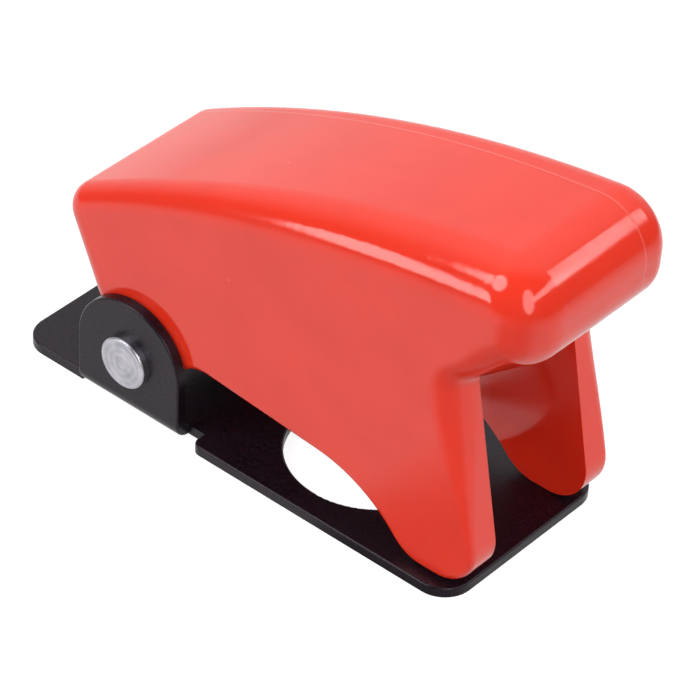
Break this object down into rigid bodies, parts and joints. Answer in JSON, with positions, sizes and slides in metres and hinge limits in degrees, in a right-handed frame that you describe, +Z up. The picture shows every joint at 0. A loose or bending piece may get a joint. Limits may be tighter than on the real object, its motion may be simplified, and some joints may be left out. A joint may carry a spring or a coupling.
{
  "type": "toggle switch cover",
  "caption": "Flip-up guard for a panel toggle switch: glossy red arched cover hinged with a closing spring on a folded black steel bracket with a round bushing hole.",
  "frame": {"origin": "centre of the bushing hole at the underside of the bracket, where it meets the panel", "axes": "+X along the bracket from the hinge towards the nose of the cover, +Z up out of the panel, +Y across the bracket, along the hinge pin"},
  "size_m": [0.0431, 0.0171, 0.0266],
  "materials": {
    "bracket": "black coating, satin",
    "cover": "moulded red, gloss",
    "pin": "plated steel, satin",
    "spring": "drawn steel wire"
  },
  "bodies": {
    "base": {"base_bracket": "bracket", "hinge_pin": "pin", "torsion_spring": "spring"},
    "cover": {"flip_cover": "cover"}
  },
  "joints": [
    {"name": "cover_hinge", "type": "hinge", "parent": "base", "child": "cover", "pos_m": [-0.0152, 0, 0.0045], "axis": [0, -1, 0], "range_deg": [0, 70], "stiffness_Nm_per_rad": 0.008, "springref_deg": -80.21, "deforming": ["torsion_spring"]}
  ]
}
